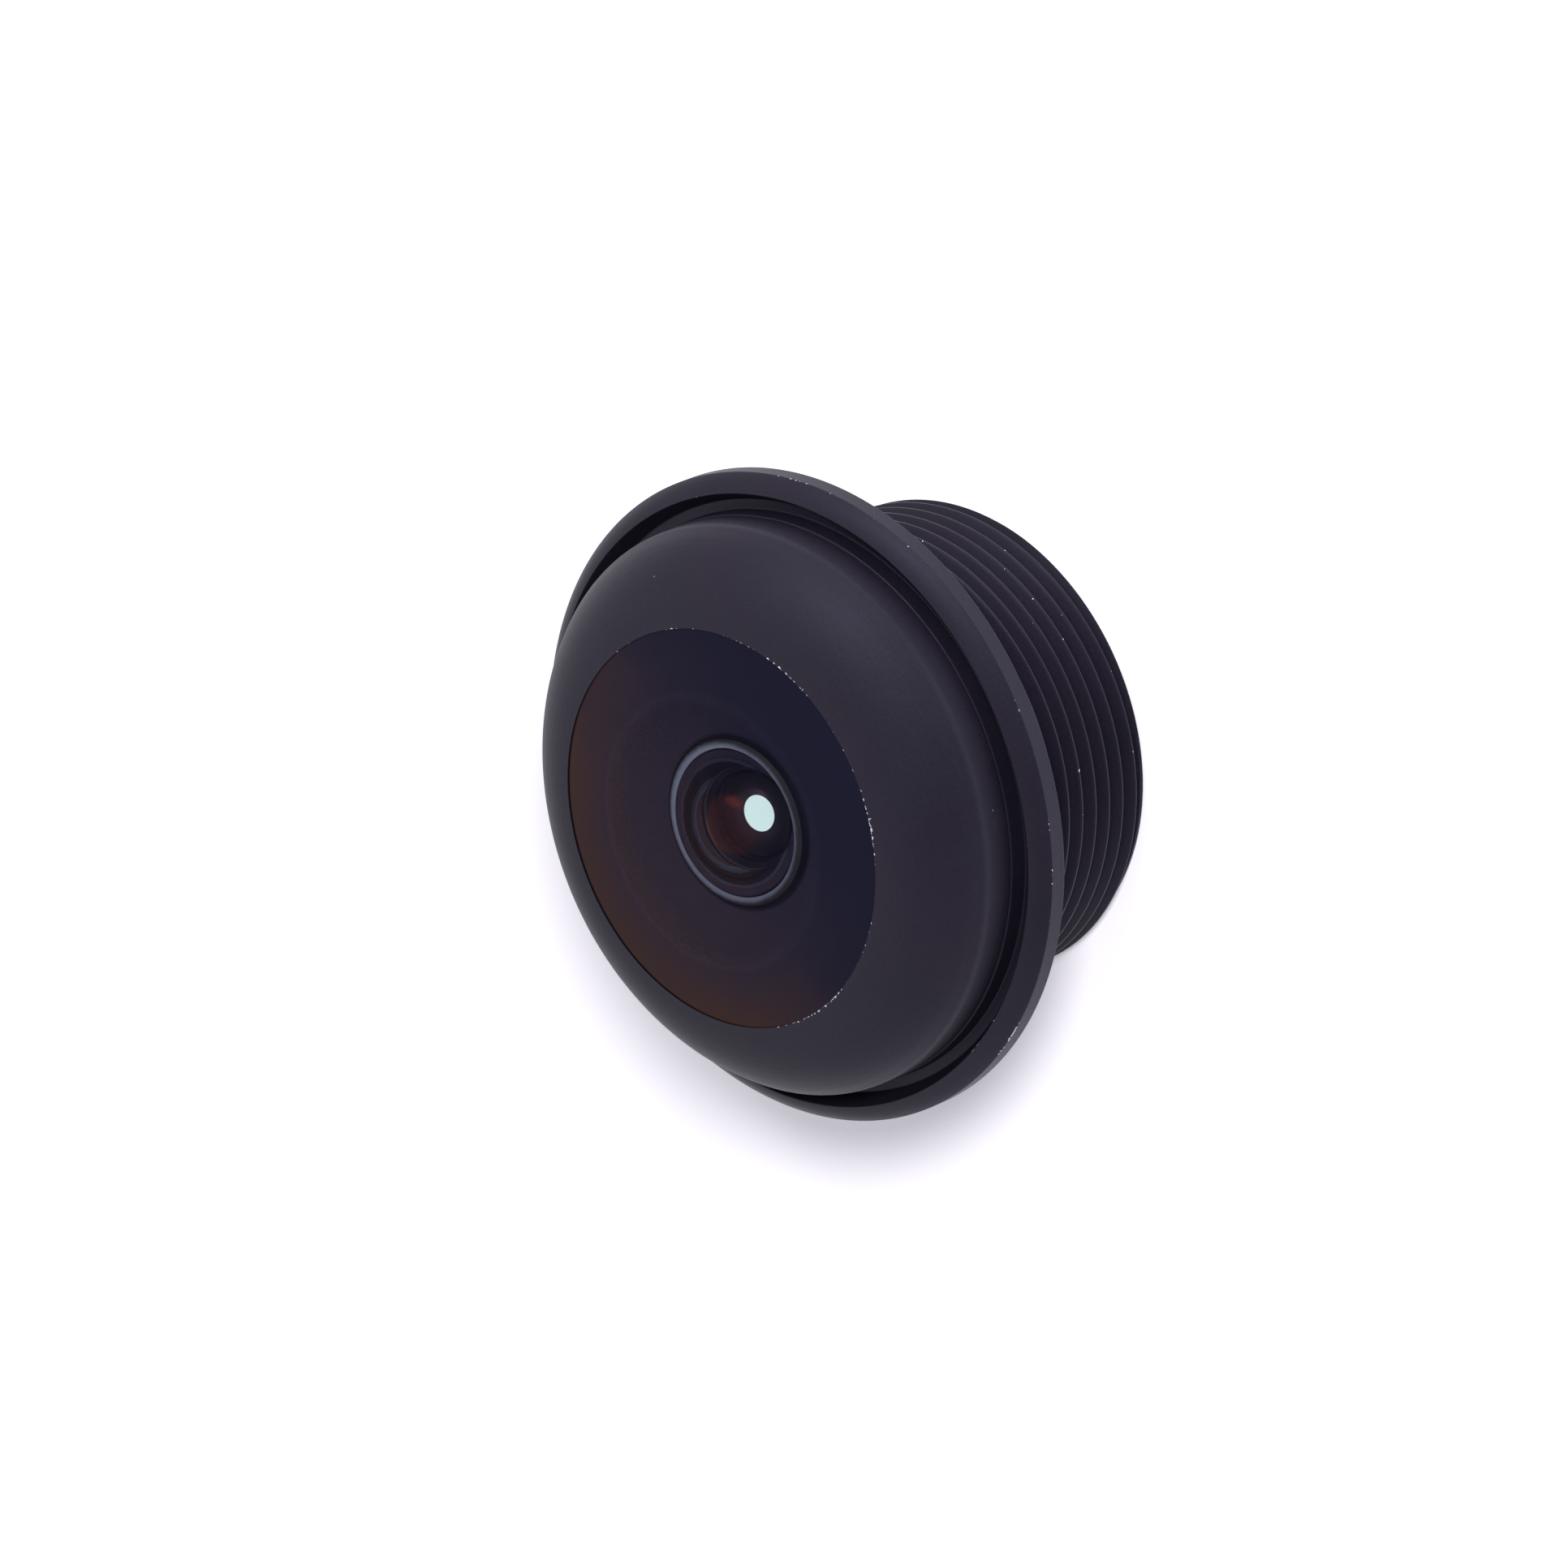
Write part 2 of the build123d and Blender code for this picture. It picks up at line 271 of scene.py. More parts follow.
def anodised_aluminium(name, colour, roughness, grain_height, edges, crest=None):
    """Black anodised aluminium, blasted fine: a dyed oxide skin over matt metal, which reflects as
    glass does (IOR near 1.5) from fine grains. Grit grains are some 0.03 mm and are drawn at 0.07 mm
    to show. Bare metal, pale and rough, shows in the chips, and a little pale dust lies on it."""
    material, tree, output = new_material(name)
    place = add_node(tree, "ShaderNodeTexCoord").outputs["Object"]
    grain = add_node(
        tree, "ShaderNodeTexNoise",
        {"Vector": place, "Scale": 1 / (0.07 * mm), "Detail": 3.0, "Roughness": 0.65},
    ).outputs["Fac"]
    cloud = add_node(
        tree, "ShaderNodeTexNoise", {"Vector": place, "Scale": 1 / (2.5 * mm), "Detail": 3.0}
    ).outputs["Fac"]
    radius, height = axis_distance(tree, place)
    marks_place = add_node(tree, "ShaderNodeCombineXYZ", {"X": radius, "Y": height}).outputs[0]
    marks = add_node(
        tree, "ShaderNodeTexNoise",
        {"Vector": marks_place, "Scale": 7.0, "Detail": 4.0, "Roughness": 0.7},
    ).outputs["Fac"]
    dots = add_node(
        tree, "ShaderNodeTexVoronoi", {"Vector": place, "Scale": 1 / (0.9 * mm), "Randomness": 1.0}
    )
    dot_size = add_node(tree, "ShaderNodeSeparateXYZ", {0: dots.outputs["Color"]}).outputs["X"]
    dust = maths(
        tree, "MULTIPLY",
        maths(tree, "LESS_THAN", dots.outputs["Distance"], 0.028),
        maths(tree, "GREATER_THAN", dot_size, 0.72),
    )
    chips = maths(tree, "MAXIMUM", edge_chips(tree, place, edges), maths(tree, "MULTIPLY", dust, 0.35))
    if crest is not None:
        chips = maths(tree, "MAXIMUM", chips, crest_chips(tree, place, *crest))
    dark, light = linear(colour[0]), linear(colour[1])
    tone = maths(tree, "MULTIPLY_ADD", maths(tree, "SUBTRACT", grain, 0.5), 1.6, cloud)
    skin = add_node(
        tree, "ShaderNodeMix", {"Factor": tone, 6: dark, 7: light}, data_type="RGBA"
    ).outputs[2]
    worn = add_node(
        tree, "ShaderNodeMix", {"Factor": chips, 6: skin, 7: linear("#B9B8C4")}, data_type="RGBA"
    ).outputs[2]
    gloss = maths(
        tree, "ADD", roughness,
        maths(tree, "MULTIPLY", maths(tree, "SUBTRACT", marks, 0.5), 0.10),
    )
    relief = maths(
        tree, "ADD", maths(tree, "MULTIPLY", grain, 1.0), maths(tree, "MULTIPLY", marks, 0.35)
    )
    bump = add_node(
        tree, "ShaderNodeBump", {"Height": relief, "Distance": grain_height * mm, "Strength": 1.0}
    ).outputs[0]
    shader = add_node(
        tree, "ShaderNodeBsdfPrincipled",
        {
            "Base Color": worn,
            "Roughness": gloss,
            "Normal": bump,
            "IOR": 1.5,
            "Specular IOR Level": 0.36,
            "Specular Tint": linear("#E2DCFF"),
        },
    )
    tree.links.new(shader.outputs[0], output.inputs["Surface"])
    return material


def helical_wall(low, high, pitch, form, envelope):
    """A threaded wall from height low to high. On the sheared grid z = s + pitch a / 2 pi, held between
    the ends, so a turn of the angle a moves a row up by one pitch, onto the row of the next thread.
    The radius is the smaller of the envelope at z and the thread form at the phase of z - pitch a /
    2 pi. form is (phase, radius) points over one pitch, and its phases are the rows."""
    phases, form_radius = form
    turns = np.arange(math.floor(low / pitch) - 1, math.ceil(high / pitch) + 1)
    rows = (turns[:, None] * pitch + phases[None, :-1]).ravel()[:, None]
    angle = np.linspace(0, 2 * np.pi, turn_steps + 1)[None, :]
    height = np.clip(rows + pitch * angle / (2 * np.pi), low, high)
    phase = np.mod(height - pitch * angle / (2 * np.pi), pitch)
    radius = np.minimum(np.interp(phase, phases, form_radius), envelope(height))
    return np.stack(
        [radius * np.cos(angle) * mm, radius * np.sin(angle) * mm, height * mm], axis=-1
    )


# The 60 degree form from one root to the next: crest flat an eighth of the pitch, with broken edges
crest_half = thread_pitch / 16
crest_break = 0.010
flank_run = thread_depth * math.tan(math.radians(30))
middle = thread_pitch / 2
phase_points = np.array([
    0.0,
    middle - crest_half - flank_run,
    middle - crest_half - 0.6 * flank_run,
    middle - crest_half - 0.2 * flank_run,
    middle - crest_half,
    middle - crest_half + crest_break,
    middle + crest_half - crest_break,
    middle + crest_half,
    middle + crest_half + 0.2 * flank_run,
    middle + crest_half + 0.6 * flank_run,
    middle + crest_half + flank_run,
    thread_pitch,
])
crest_drop = 0.008
depth_points = np.array([1, 1, 0.6, 0.2, 0, 0, 0, 0, 0.2, 0.6, 1, 1]) * thread_depth
depth_points[[4, 7]] = crest_drop
thread_top = flange_rear - relief_width


def thread_envelope(height):
    """The blank's radius: a 45 degree lead-in at the rear end, and a 45 degree run down to the relief."""
    return np.minimum.reduce([
        thread_radius - thread_lead_in + height,
        relief_radius + (thread_top - height),
        np.full_like(height, thread_radius),
    ])


mounting_thread = helical_wall(
    0.0, thread_top, thread_pitch, (phase_points, thread_radius - depth_points), thread_envelope
)
edge_round = 0.035
fine_round = 0.02


def bulged(start, end, bulge, steps=9):
    """Points between two ends of a profile on a gentle arc: the chord, moved to its left by
    4 bulge t (1 - t) with t from 0 to 1."""
    start, end = np.array(start), np.array(end)
    chord = end - start
    left = np.array([-chord[1], chord[0]]) / np.hypot(*chord)
    share = np.linspace(0, 1, steps)[1:-1, None]
    points = start + share * chord + 4 * bulge * share * (1 - share) * left
    return [(radius, height, 0) for radius, height in points]


barrel_profile = rounded([
    (relief_radius, thread_top, 0),
    (relief_radius, flange_rear, 0.05),
    (flange_radius, flange_rear, edge_round),
    (flange_radius, rim_front, edge_round),
    *bulged((flange_radius, rim_front), (lip_radius, lip_z), lip_bulge),
    (lip_radius, lip_z, fine_round),
    (groove_outer_radius, groove_z, 0.04),
    (neck_radius, groove_z, 0.04),
    (neck_radius, joint_z, 0.05),
    (spigot_radius, joint_z, 0),
    (spigot_radius, spigot_end, fine_round),
    (front_bore_radius, spigot_end, fine_round),
    (front_bore_radius, web_front, 0),
    (web_hole_radius + web_hole_flare, web_front, fine_round),
    (web_hole_radius, web_rear, 0),
    (bore_radius, web_rear, 0),
    (bore_radius, bore_lead_in, fine_round),
    (bore_radius + bore_lead_in, 0, fine_round),
    (thread_radius - thread_lead_in, 0, 0),
])
barrel_black = anodised_aluminium(
    "black anodised aluminium, turned",
    ("#100E17", "#191620"),
    0.48,
    0.004,
    [
        (flange_radius, rim_front, 0.030, 0.35),
        (flange_radius, flange_rear, 0.030, 0.30),
        (lip_radius, lip_z, 0.020, 0.10),
    ],
    crest=(thread_radius, thread_top),
)
barrel = closed_piece("turned_barrel", [mounting_thread, turned_grid(barrel_profile)], [barrel_black])
dress(barrel, "barrel_black", "barrel")

# Front cap: turned from aluminium, screwed onto the barrel's spigot over the lens and its seal. Its
# dome runs down from a knife-sharp edge round the glass, and it has the same fine black anodising.
aperture_radius = 5.03
top_z = 9.10
glass_edge_z = 9.065
dome_edge_slope = 10.5
cap_radius = 7.22
shoulder_z = 7.50
cap_bore_radius = 6.40
cap_step_z = 7.80
seal_room_radius = 6.02
seal_room_front = 8.27
bevel_room_z = 8.575
shoulder_rounding = 0.45
dome_steps = 28


def dome_arc(start, end, slope):
    """An arc that leaves start at a downward slope in degrees and ends at end. With the chord D and the
    inward normal N of the start, its radius is D.D / (2 D.N), and its angle is twice the chord's."""
    start, end = np.array(start), np.array(end)
    chord = end - start
    normal = -np.array([math.sin(math.radians(slope)), math.cos(math.radians(slope))])
    radius = chord @ chord / (2 * chord @ normal)
    centre = start + radius * normal
    first = math.radians(90 - slope)
    last = math.atan2(*(end - centre)[::-1])
    angle = np.linspace(first, last, dome_steps)[:, None]
    return centre + radius * np.concatenate([np.cos(angle), np.sin(angle)], axis=1)


dome = dome_arc((aperture_radius, top_z), (cap_radius, shoulder_z), dome_edge_slope)
above_shoulder = np.hypot(*(dome - dome[-1]).T) > 0.8 * shoulder_rounding
cap_profile = rounded(
    [(aperture_radius, glass_edge_z, 0), (aperture_radius, top_z - 0.006, 0)]
    + [(aperture_radius + 0.006, top_z - 0.001, 0)]
    + [(radius, height, 0) for radius, height in dome[above_shoulder][1:]]
    + [
        (cap_radius, shoulder_z, shoulder_rounding),
        (cap_radius, joint_z, 0.05),
        (cap_bore_radius, joint_z, 0),
        (cap_bore_radius, cap_step_z, 0),
        (seal_room_radius, cap_step_z, 0),
        (seal_room_radius, seal_room_front, 0),
        (front_bore_radius, seal_room_front, 0),
        (front_bore_radius, bevel_room_z, 0),
        (aperture_radius, glass_edge_z, 0),
    ]
)
cap_black = anodised_aluminium(
    "black anodised aluminium, blasted",
    ("#110F17", "#1B1823"),
    0.52,
    0.005,
    [(aperture_radius, top_z, 0.040, 0.80)],
)
cap = closed_piece("domed_front_cap", [turned_grid(cap_profile)], [cap_black])
dress(cap, "cap_black", "front_cap")

# Front lens: a ground and polished glass meniscus with coated faces. A painted reflection goes from
# blue on one side of it to brown on the other. Its edge and rear land are painted with black ink, and
# the fine ground bevel round its hollow is left bare, so it shows as a pale ring.
glass_edge_radius = 5.00
front_lens_radius = 5.50
glass_bevel = 0.50
front_lens_rear = 7.50
front_lens_curve = 20.0
front_index = 1.62
hollow_radius = 1.80
hollow_depth = 1.30
ground_bevel_width = 0.18
ground_bevel_rise = 0.10
clear_front_radius = 3.60
# the side where the glass's painted reflection turns brown
brown_side = math.radians(105)
seat_gap = 0.003
lens_steps = 28


def cap_face(edge_radius, edge_height, rise):
    """A polished face from its edge to the axis: the sphere through the edge circle whose middle stands
    out by rise, of radius (edge^2 + rise^2) / (2 rise), in equal steps of angle."""
    curve = (edge_radius ** 2 + rise ** 2) / (2 * rise)
    angle = np.linspace(math.asin(np.clip(edge_radius / abs(curve), 0, 1)), 0, lens_steps)
    radius = abs(curve) * np.sin(angle)
    height = edge_height + rise - curve + math.copysign(1, curve) * abs(curve) * np.cos(angle)
    return np.stack([radius, height], axis=1)


def polished_lens(name, rear_face, front_face, edge, coatings, edge_finishes):
    """A lens from its rear middle, out over the rear face, along the edge's corners and in over the
    front face. A face is its (radius, height, rise), the coatings are those of the rear and front
    faces, and there is one edge finish to a stretch between corners."""
    rear, front = cap_face(*rear_face)[::-1], cap_face(*front_face)
    profile = np.concatenate([rear, np.array(edge), front])
    materials = list(dict.fromkeys([*coatings, *edge_finishes]))
    finishes = [coatings[0]] * (len(rear) - 1) + edge_finishes + [coatings[1]] * (len(front) - 1)
    rows = [materials.index(finish) for finish in finishes]
    return closed_piece(name, [turned_grid(profile)], materials, rows)


def towards_brown(tree, place):
    """How far a point lies towards the side where the glass's painted reflection is brown, in mm from the
    axis, moved up to about 1 mm either way by clouds some 4 mm wide."""
    along = add_node(
        tree, "ShaderNodeVectorMath",
        {0: place, 1: (math.cos(brown_side) / mm, math.sin(brown_side) / mm, 0.0)},
        operation="DOT_PRODUCT",
    ).outputs["Value"]
    cloud = add_node(
        tree, "ShaderNodeTexNoise", {"Vector": place, "Scale": 1 / (4.0 * mm), "Detail": 3.0}
    ).outputs["Fac"]
    return maths(tree, "ADD", along, maths(tree, "MULTIPLY", maths(tree, "SUBTRACT", cloud, 0.5), 5.0))


def blended(tree, value, low, high, first, last):
    """A colour between two sRGB hex colours, as the value goes from low to high."""
    share = add_node(
        tree, "ShaderNodeMapRange", {"Value": value, "From Min": low, "From Max": high},
        interpolation_type="SMOOTHSTEP",
    ).outputs[0]
    return add_node(
        tree, "ShaderNodeMix", {"Factor": share, 6: linear(first), 7: linear(last)}, data_type="RGBA"
    ).outputs[2]


def painted_reflection_tone(tree, place):
    """Black with a painted reflection that goes from blue on one side of the glass to brown on the
    other, and is brownest by the rim there."""
    along = towards_brown(tree, place)
    radius = axis_distance(tree, place)[0]
    brown_half = add_node(
        tree, "ShaderNodeMapRange", {"Value": along, "From Min": -1.0, "From Max": 3.0}
    ).outputs[0]
    by_rim = add_node(
        tree, "ShaderNodeMapRange", {"Value": radius, "From Min": 3.2, "From Max": 5.0}
    ).outputs[0]
    return add_node(
        tree, "ShaderNodeMix",
        {
            "Factor": maths(tree, "MULTIPLY", brown_half, by_rim),
            6: blended(tree, along, -4.0, 3.5, "#12121D", "#221C25"),
            7: linear("#33221A"),
        },
        data_type="RGBA",
    ).outputs[2]


def dust_and_painted_sheen(tree, place):
    """The thin film of fine dust that lies on the front glass: a trace of light from matt grains, and
    only on the outer face. Its tone is a painted sheen, lighter and warmer towards the brown side."""
    tone = blended(tree, towards_brown(tree, place), -4.0, 4.5, "#050508", "#0F0D10")
    inside = add_node(tree, "ShaderNodeNewGeometry").outputs["Backfacing"]
    tone = add_node(
        tree, "ShaderNodeVectorMath", {0: tone, "Scale": maths(tree, "SUBTRACT", 1.0, inside)},
        operation="SCALE",
    ).outputs[0]
    return add_node(tree, "ShaderNodeBsdfDiffuse", {"Color": tone}).outputs[0]


def coated_glass(name, index, film_thickness, clear_radius=None, tint="#FFFFFF"):
    """Polished optical glass with a quarter-wave film of magnesium fluoride (index 1.38). The film's
    thickness in nanometres sets the colour of the little light that it still reflects, and the tint
    stands for further films that take away more of it. Outside the clear radius, in mm, the face isn't
    looked through: it is drawn black with a painted reflection below its film, in place of the inked
    land behind it. Given a clear radius, dust with a painted sheen lies over the whole outer face."""
    material, tree, output = new_material(name)
    finish = {
        "Roughness": 0.0,
        "IOR": index,
        "Thin Film Thickness": film_thickness,
        "Thin Film IOR": 1.38,
        "Specular Tint": linear(tint),
    }
    clear = add_node(tree, "ShaderNodeBsdfPrincipled", {**finish, "Base Color": linear("#FFFFFF")})
    clear.inputs["Transmission Weight"].default_value = 1.0
    if clear_radius is None:
        tree.links.new(clear.outputs[0], output.inputs["Surface"])
        return material
    place = add_node(tree, "ShaderNodeTexCoord").outputs["Object"]
    radius = axis_distance(tree, place)[0]
    # the inked part takes the painted reflection as its colour
    ink_and_painted_light = add_node(
        tree, "ShaderNodeBsdfPrincipled", {**finish, "Base Color": painted_reflection_tone(tree, place)}
    )
    share = add_node(
        tree, "ShaderNodeMapRange",
        {"Value": radius, "From Min": clear_radius - 0.5, "From Max": clear_radius},
        interpolation_type="SMOOTHSTEP",
    ).outputs[0]
    inside = add_node(tree, "ShaderNodeNewGeometry").outputs["Backfacing"]
    share = maths(tree, "MULTIPLY", share, maths(tree, "SUBTRACT", 1.0, inside))
    mixed = add_node(
        tree, "ShaderNodeMixShader", {0: share, 1: clear.outputs[0], 2: ink_and_painted_light.outputs[0]}
    )
    # dust with a painted sheen, lighter towards the brown side, laid over the outer face
    with_dust_and_sheen = add_node(
        tree, "ShaderNodeAddShader", {0: mixed.outputs[0], 1: dust_and_painted_sheen(tree, place)}
    )
    tree.links.new(with_dust_and_sheen.outputs[0], output.inputs["Surface"])
    return material


def edge_ink():
    """Black ink on ground glass: matt, and dark enough to kill stray light inside the lens. It is
    seen through the glass that it wets, so it has no gloss of its own and looks darker by the square
    of the glass's index. Its colour is the painted reflection, raised by that square, and just outside
    the pale ring it is painted near black in a crescent off the axis, as painted shade. It is thin
    and greyish towards the rim, where the hollow mirrors it."""
    material, tree, output = new_material("black edge ink")
    place = add_node(tree, "ShaderNodeTexCoord").outputs["Object"]
    radius, height = axis_distance(tree, place)
    # the painted reflection, raised by the square of the index
    painted_reflection = add_node(
        tree, "ShaderNodeVectorMath", {0: painted_reflection_tone(tree, place), "Scale": front_index ** 2},
        operation="SCALE",
    ).outputs[0]
    # painted shade: near black in a crescent just outside the pale ring, centred a little off the axis
    ring_place = add_node(
        tree, "ShaderNodeVectorMath", {0: place, 1: (0.02 * mm, 0.10 * mm, 0.0)}, operation="ADD"
    ).outputs[0]
    clear_of_painted_shade = add_node(
        tree, "ShaderNodeMapRange",
        {
            "Value": axis_distance(tree, ring_place)[0],
            "From Min": hollow_radius + ground_bevel_width + 0.08,
            "From Max": hollow_radius + ground_bevel_width + 0.18,
        },
    ).outputs[0]
    near_rim = add_node(
        tree, "ShaderNodeMapRange", {"Value": radius, "From Min": 4.62, "From Max": 4.80}
    ).outputs[0]
    up_the_edge = add_node(
        tree, "ShaderNodeMapRange",
        {
            "Value": height,
            "From Min": front_lens_rear + 0.25,
            "From Max": front_lens_rear + 0.45,
            "To Min": 1.0,
            "To Max": 0.0,
        },
    ).outputs[0]
    thin = maths(tree, "MULTIPLY", near_rim, up_the_edge)
    ink_and_painted_light = add_node(
        tree, "ShaderNodeMix", {"Factor": clear_of_painted_shade, 6: linear("#050406"), 7: painted_reflection}, data_type="RGBA"
    ).outputs[2]
    tone = add_node(
        tree, "ShaderNodeMix", {"Factor": thin, 6: ink_and_painted_light, 7: linear("#6C6E84")}, data_type="RGBA"
    ).outputs[2]
    shader = add_node(tree, "ShaderNodeBsdfDiffuse", {"Color": tone})
    tree.links.new(shader.outputs[0], output.inputs["Surface"])
    return material


def ground_glass():
    """Glass ground with fine abrasive and left bare: pale and matt, as frosted glass is, where it is
    ground deepest, and fading outwards to where the ink begins. The fade is centred a little off the
    axis, as painted shade that narrows the pale band on one side and painted light that widens it on
    the other."""
    material, tree, output = new_material("ground glass")
    place = add_node(tree, "ShaderNodeTexCoord").outputs["Object"]
    # the fade is centred off the axis: painted shade on one side of the ring, painted light on the other
    shade_shifted_place = add_node(
        tree, "ShaderNodeVectorMath", {0: place, 1: (-0.015 * mm, -0.065 * mm, 0.0)}, operation="ADD"
    ).outputs[0]
    radius = axis_distance(tree, shade_shifted_place)[0]
    grain = add_node(
        tree, "ShaderNodeTexNoise", {"Vector": place, "Scale": 1 / (0.15 * mm), "Detail": 3.0}
    ).outputs["Fac"]
    fade = add_node(
        tree, "ShaderNodeMapRange",
        {
            "Value": maths(tree, "MULTIPLY_ADD", grain, 0.06, radius),
            "From Min": hollow_radius + 0.03,
            "From Max": hollow_radius + ground_bevel_width + 0.01,
        },
        interpolation_type="SMOOTHSTEP",
    ).outputs[0]
    tone = add_node(
        tree, "ShaderNodeMix",
        {"Factor": fade, 6: linear("#8E94B0"), 7: linear("#08070A")}, data_type="RGBA",
    ).outputs[2]
    shader = add_node(
        tree, "ShaderNodeBsdfPrincipled", {"Base Color": tone, "Roughness": 0.6}
    )
    tree.links.new(shader.outputs[0], output.inputs["Surface"])
    return material


ink = edge_ink()
frosted = ground_glass()
front_coating = coated_glass(
    "front glass, multi-coated", front_index, 116.0, clear_front_radius, tint="#8A86A0"
)
hollow_coating = coated_glass(
    "hollow of the front glass, red coated", front_index, 104.0, tint="#B06448"
)
front_face_rise = front_lens_curve - math.sqrt(front_lens_curve ** 2 - glass_edge_radius ** 2)
front_lens = polished_lens(
    "front_meniscus",
    (hollow_radius, front_lens_rear + ground_bevel_rise, hollow_depth - ground_bevel_rise),
    (glass_edge_radius, glass_edge_z, front_face_rise),
    [
        (hollow_radius + ground_bevel_width, front_lens_rear + seat_gap),
        (front_lens_radius, front_lens_rear + seat_gap),
        (front_lens_radius, glass_edge_z - glass_bevel),
    ],
    [hollow_coating, front_coating],
    [frosted, ink, ink, ink],
)
dress(front_lens, "front_glass", "front_lens")

# Inner lenses: small coated elements with inked rims, stacked in the bore. The second is a meniscus,
# the third biconvex, the crown and the flint are cemented to each other, and the rear one is convex.
stack_radius = 4.48


def stack_lens(name, node, rear, front, coatings):
    """An inner lens whose rim's rear and front heights come from the node's box, less the parts of its
    faces that stand out of the rim. rear and front are the (land, outward rise) of the faces."""
    low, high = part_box(node)
    rear_z = low[2] / mm + max(rear[1], 0) + seat_gap
    front_z = high[2] / mm - max(front[1], 0) - seat_gap
    piece = polished_lens(
        name,
        (stack_radius - rear[0], rear_z, -rear[1]),
        (stack_radius - front[0], front_z, front[1]),
        [(stack_radius, rear_z), (stack_radius, front_z)],
        coatings, [ink, ink, ink],
    )
    dress(piece, "inner_glass", node)


second_rear = coated_glass("second lens, rear coating", 1.60, 100.0, tint="#8C7090")
second_front = coated_glass("second lens, front coating", 1.60, 108.0, tint="#A07090")
third_rear = coated_glass("third lens, rear coating", 1.60, 100.0, tint="#40304A")
third_front = coated_glass("third lens, front coating", 1.60, 84.0, tint="#604C60")
crown_front = coated_glass("crown lens, front coating", 1.60, 108.0)
cemented = coated_glass("cemented faces", 1.60, 108.0)
flint_rear = coated_glass("flint lens, rear coating", 1.60, 108.0)
last_rear = coated_glass("rear lens, rear coating", 1.60, 100.0)
last_front = coated_glass("rear lens, front coating", 1.60, 84.0)
stack_lens("second_meniscus", "second_lens", (2.58, -0.45), (2.53, 0.45), [second_rear, second_front])
stack_lens("third_biconvex", "third_lens", (2.48, 0.25), (2.48, 0.35), [third_rear, third_front])
stack_lens("crown_element", "crown_lens", (2.08, 0.45), (2.38, 0.20), [cemented, crown_front])
stack_lens("flint_element", "flint_lens", (2.08, 0.20), (2.08, -0.45), [flint_rear, cemented])
stack_lens("rear_element", "rear_lens", (2.08, -0.15), (1.98, 0.45), [last_rear, last_front])

# Spacers, light shields, stop and seal: the spacers are turned and black anodised, with a brown cast
# where light grazes them; the shields and the stop are punched from black film; the seal is rubber.
def matt_black(name, colour, cast, roughness, grain_size, grain_height):
    """A matt black finish with a fine grain of the given size and height in mm, drawn a little coarser
    than it is, and a colour cast in what it reflects."""
    material, tree, output = new_material(name)
    place = add_node(tree, "ShaderNodeTexCoord").outputs["Object"]
    grain = add_node(
        tree, "ShaderNodeTexNoise", {"Vector": place, "Scale": 1 / (grain_size * mm), "Detail": 3.0}
    ).outputs["Fac"]
    tone = add_node(
        tree, "ShaderNodeMix",
        {"Factor": grain, 6: linear(colour[0]), 7: linear(colour[1])}, data_type="RGBA",
    ).outputs[2]
    bump = add_node(
        tree, "ShaderNodeBump", {"Height": grain, "Distance": grain_height * mm}
    ).outputs[0]
    shader = add_node(
        tree, "ShaderNodeBsdfPrincipled",
        {"Base Color": tone, "Roughness": roughness, "Specular Tint": linear(cast), "Normal": bump},
    )
    tree.links.new(shader.outputs[0], output.inputs["Surface"])
    return material


spacer_black = matt_black(
    "black anodised aluminium, inside", ("#0F0806", "#1A0E0A"), "#C07A5C", 0.45, 0.10, 0.004
)
film_black = matt_black("black polyester film", ("#060608", "#0C0C0F"), "#FFFFFF", 0.6, 0.08, 0.002)
rubber_black = matt_black("nitrile rubber", ("#101012", "#18181B"), "#FFFFFF", 0.55, 0.12, 0.003)
for node in ("front_spacer", "middle_spacer", "stop_spacer", "long_spacer"):
    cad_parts[node].data.materials[0] = spacer_black
for node in ("front_light_shield", "aperture_stop", "rear_light_shield"):
    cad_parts[node].data.materials[0] = film_black
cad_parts["front_seal"].data.materials[0] = rubber_black

# Infrared filter: a flat disc of glass with a coating that turns infrared light back, so it is pale
# blue-green to look through and shows a red glint at a slant. It is drawn without bending light.
filter_glass, tree, output = new_material("infrared cut filter glass")
through = add_node(tree, "ShaderNodeBsdfTransparent", {"Color": linear("#EFFBFA")}).outputs[0]
glint = add_node(
    tree, "ShaderNodeBsdfGlossy", {"Color": linear("#E08A86"), "Roughness": 0.02}
).outputs[0]
slant = add_node(tree, "ShaderNodeFresnel", {"IOR": 1.6}).outputs[0]
filter_mix = add_node(tree, "ShaderNodeMixShader", {0: slant, 1: through, 2: glint}).outputs[0]
tree.links.new(filter_mix, output.inputs["Surface"])
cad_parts["infrared_filter"].data.materials[0] = filter_glass

# Slotted ring: turned from aluminium, black anodised, with two milled slots for a spanner. It screws
# into the rear bore and holds the stack. Its edges are broken, so they catch the light.
ring_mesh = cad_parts["slotted_ring"].data.copy()
ring_mesh.materials.clear()
ring_mesh.materials.append(spacer_black)
ring_shell = bmesh.new()
ring_shell.from_mesh(ring_mesh)
bmesh.ops.remove_doubles(ring_shell, verts=ring_shell.verts, dist=0.001 * mm)
bmesh.ops.dissolve_limit(
    ring_shell, angle_limit=math.radians(1), verts=ring_shell.verts, edges=ring_shell.edges
)
ring_shell.to_mesh(ring_mesh)
ring_shell.free()
slotted_ring = bpy.data.objects.new("slotted_retaining_ring", ring_mesh)
bpy.context.scene.collection.objects.link(slotted_ring)
ring_bevel = slotted_ring.modifiers.new("broken edges", "BEVEL")
ring_bevel.width = 0.03 * mm
ring_bevel.segments = 2
ring_bevel.limit_method = "ANGLE"
ring_bevel.angle_limit = math.radians(40)
ring_mesh.shade_smooth()
